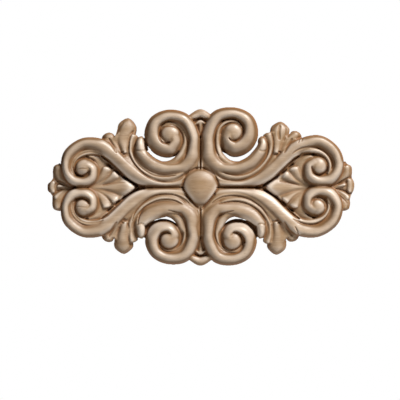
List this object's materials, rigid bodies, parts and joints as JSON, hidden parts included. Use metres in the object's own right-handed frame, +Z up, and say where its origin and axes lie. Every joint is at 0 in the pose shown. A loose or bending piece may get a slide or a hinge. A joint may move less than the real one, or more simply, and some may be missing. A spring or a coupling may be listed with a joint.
{
  "type": "scroll onlay",
  "caption": "Carved wood scroll onlay with a central boss, paired volutes, leaf sprays and a palmette at each end; glued flat on furniture or a panel.",
  "frame": {"origin": "centre of the flat back face, behind the boss", "axes": "+X along the onlay's length, +Z up its height, +Y out of the flat back into the surface it is fixed to; the carving faces -Y"},
  "size_m": [0.1561, 0.0098, 0.0809],
  "materials": {
    "carved_wood": "unfinished, sanded, with darker creases"
  },
  "bodies": {
    "root": {"scroll_onlay": "carved_wood"}
  },
  "joints": []
}
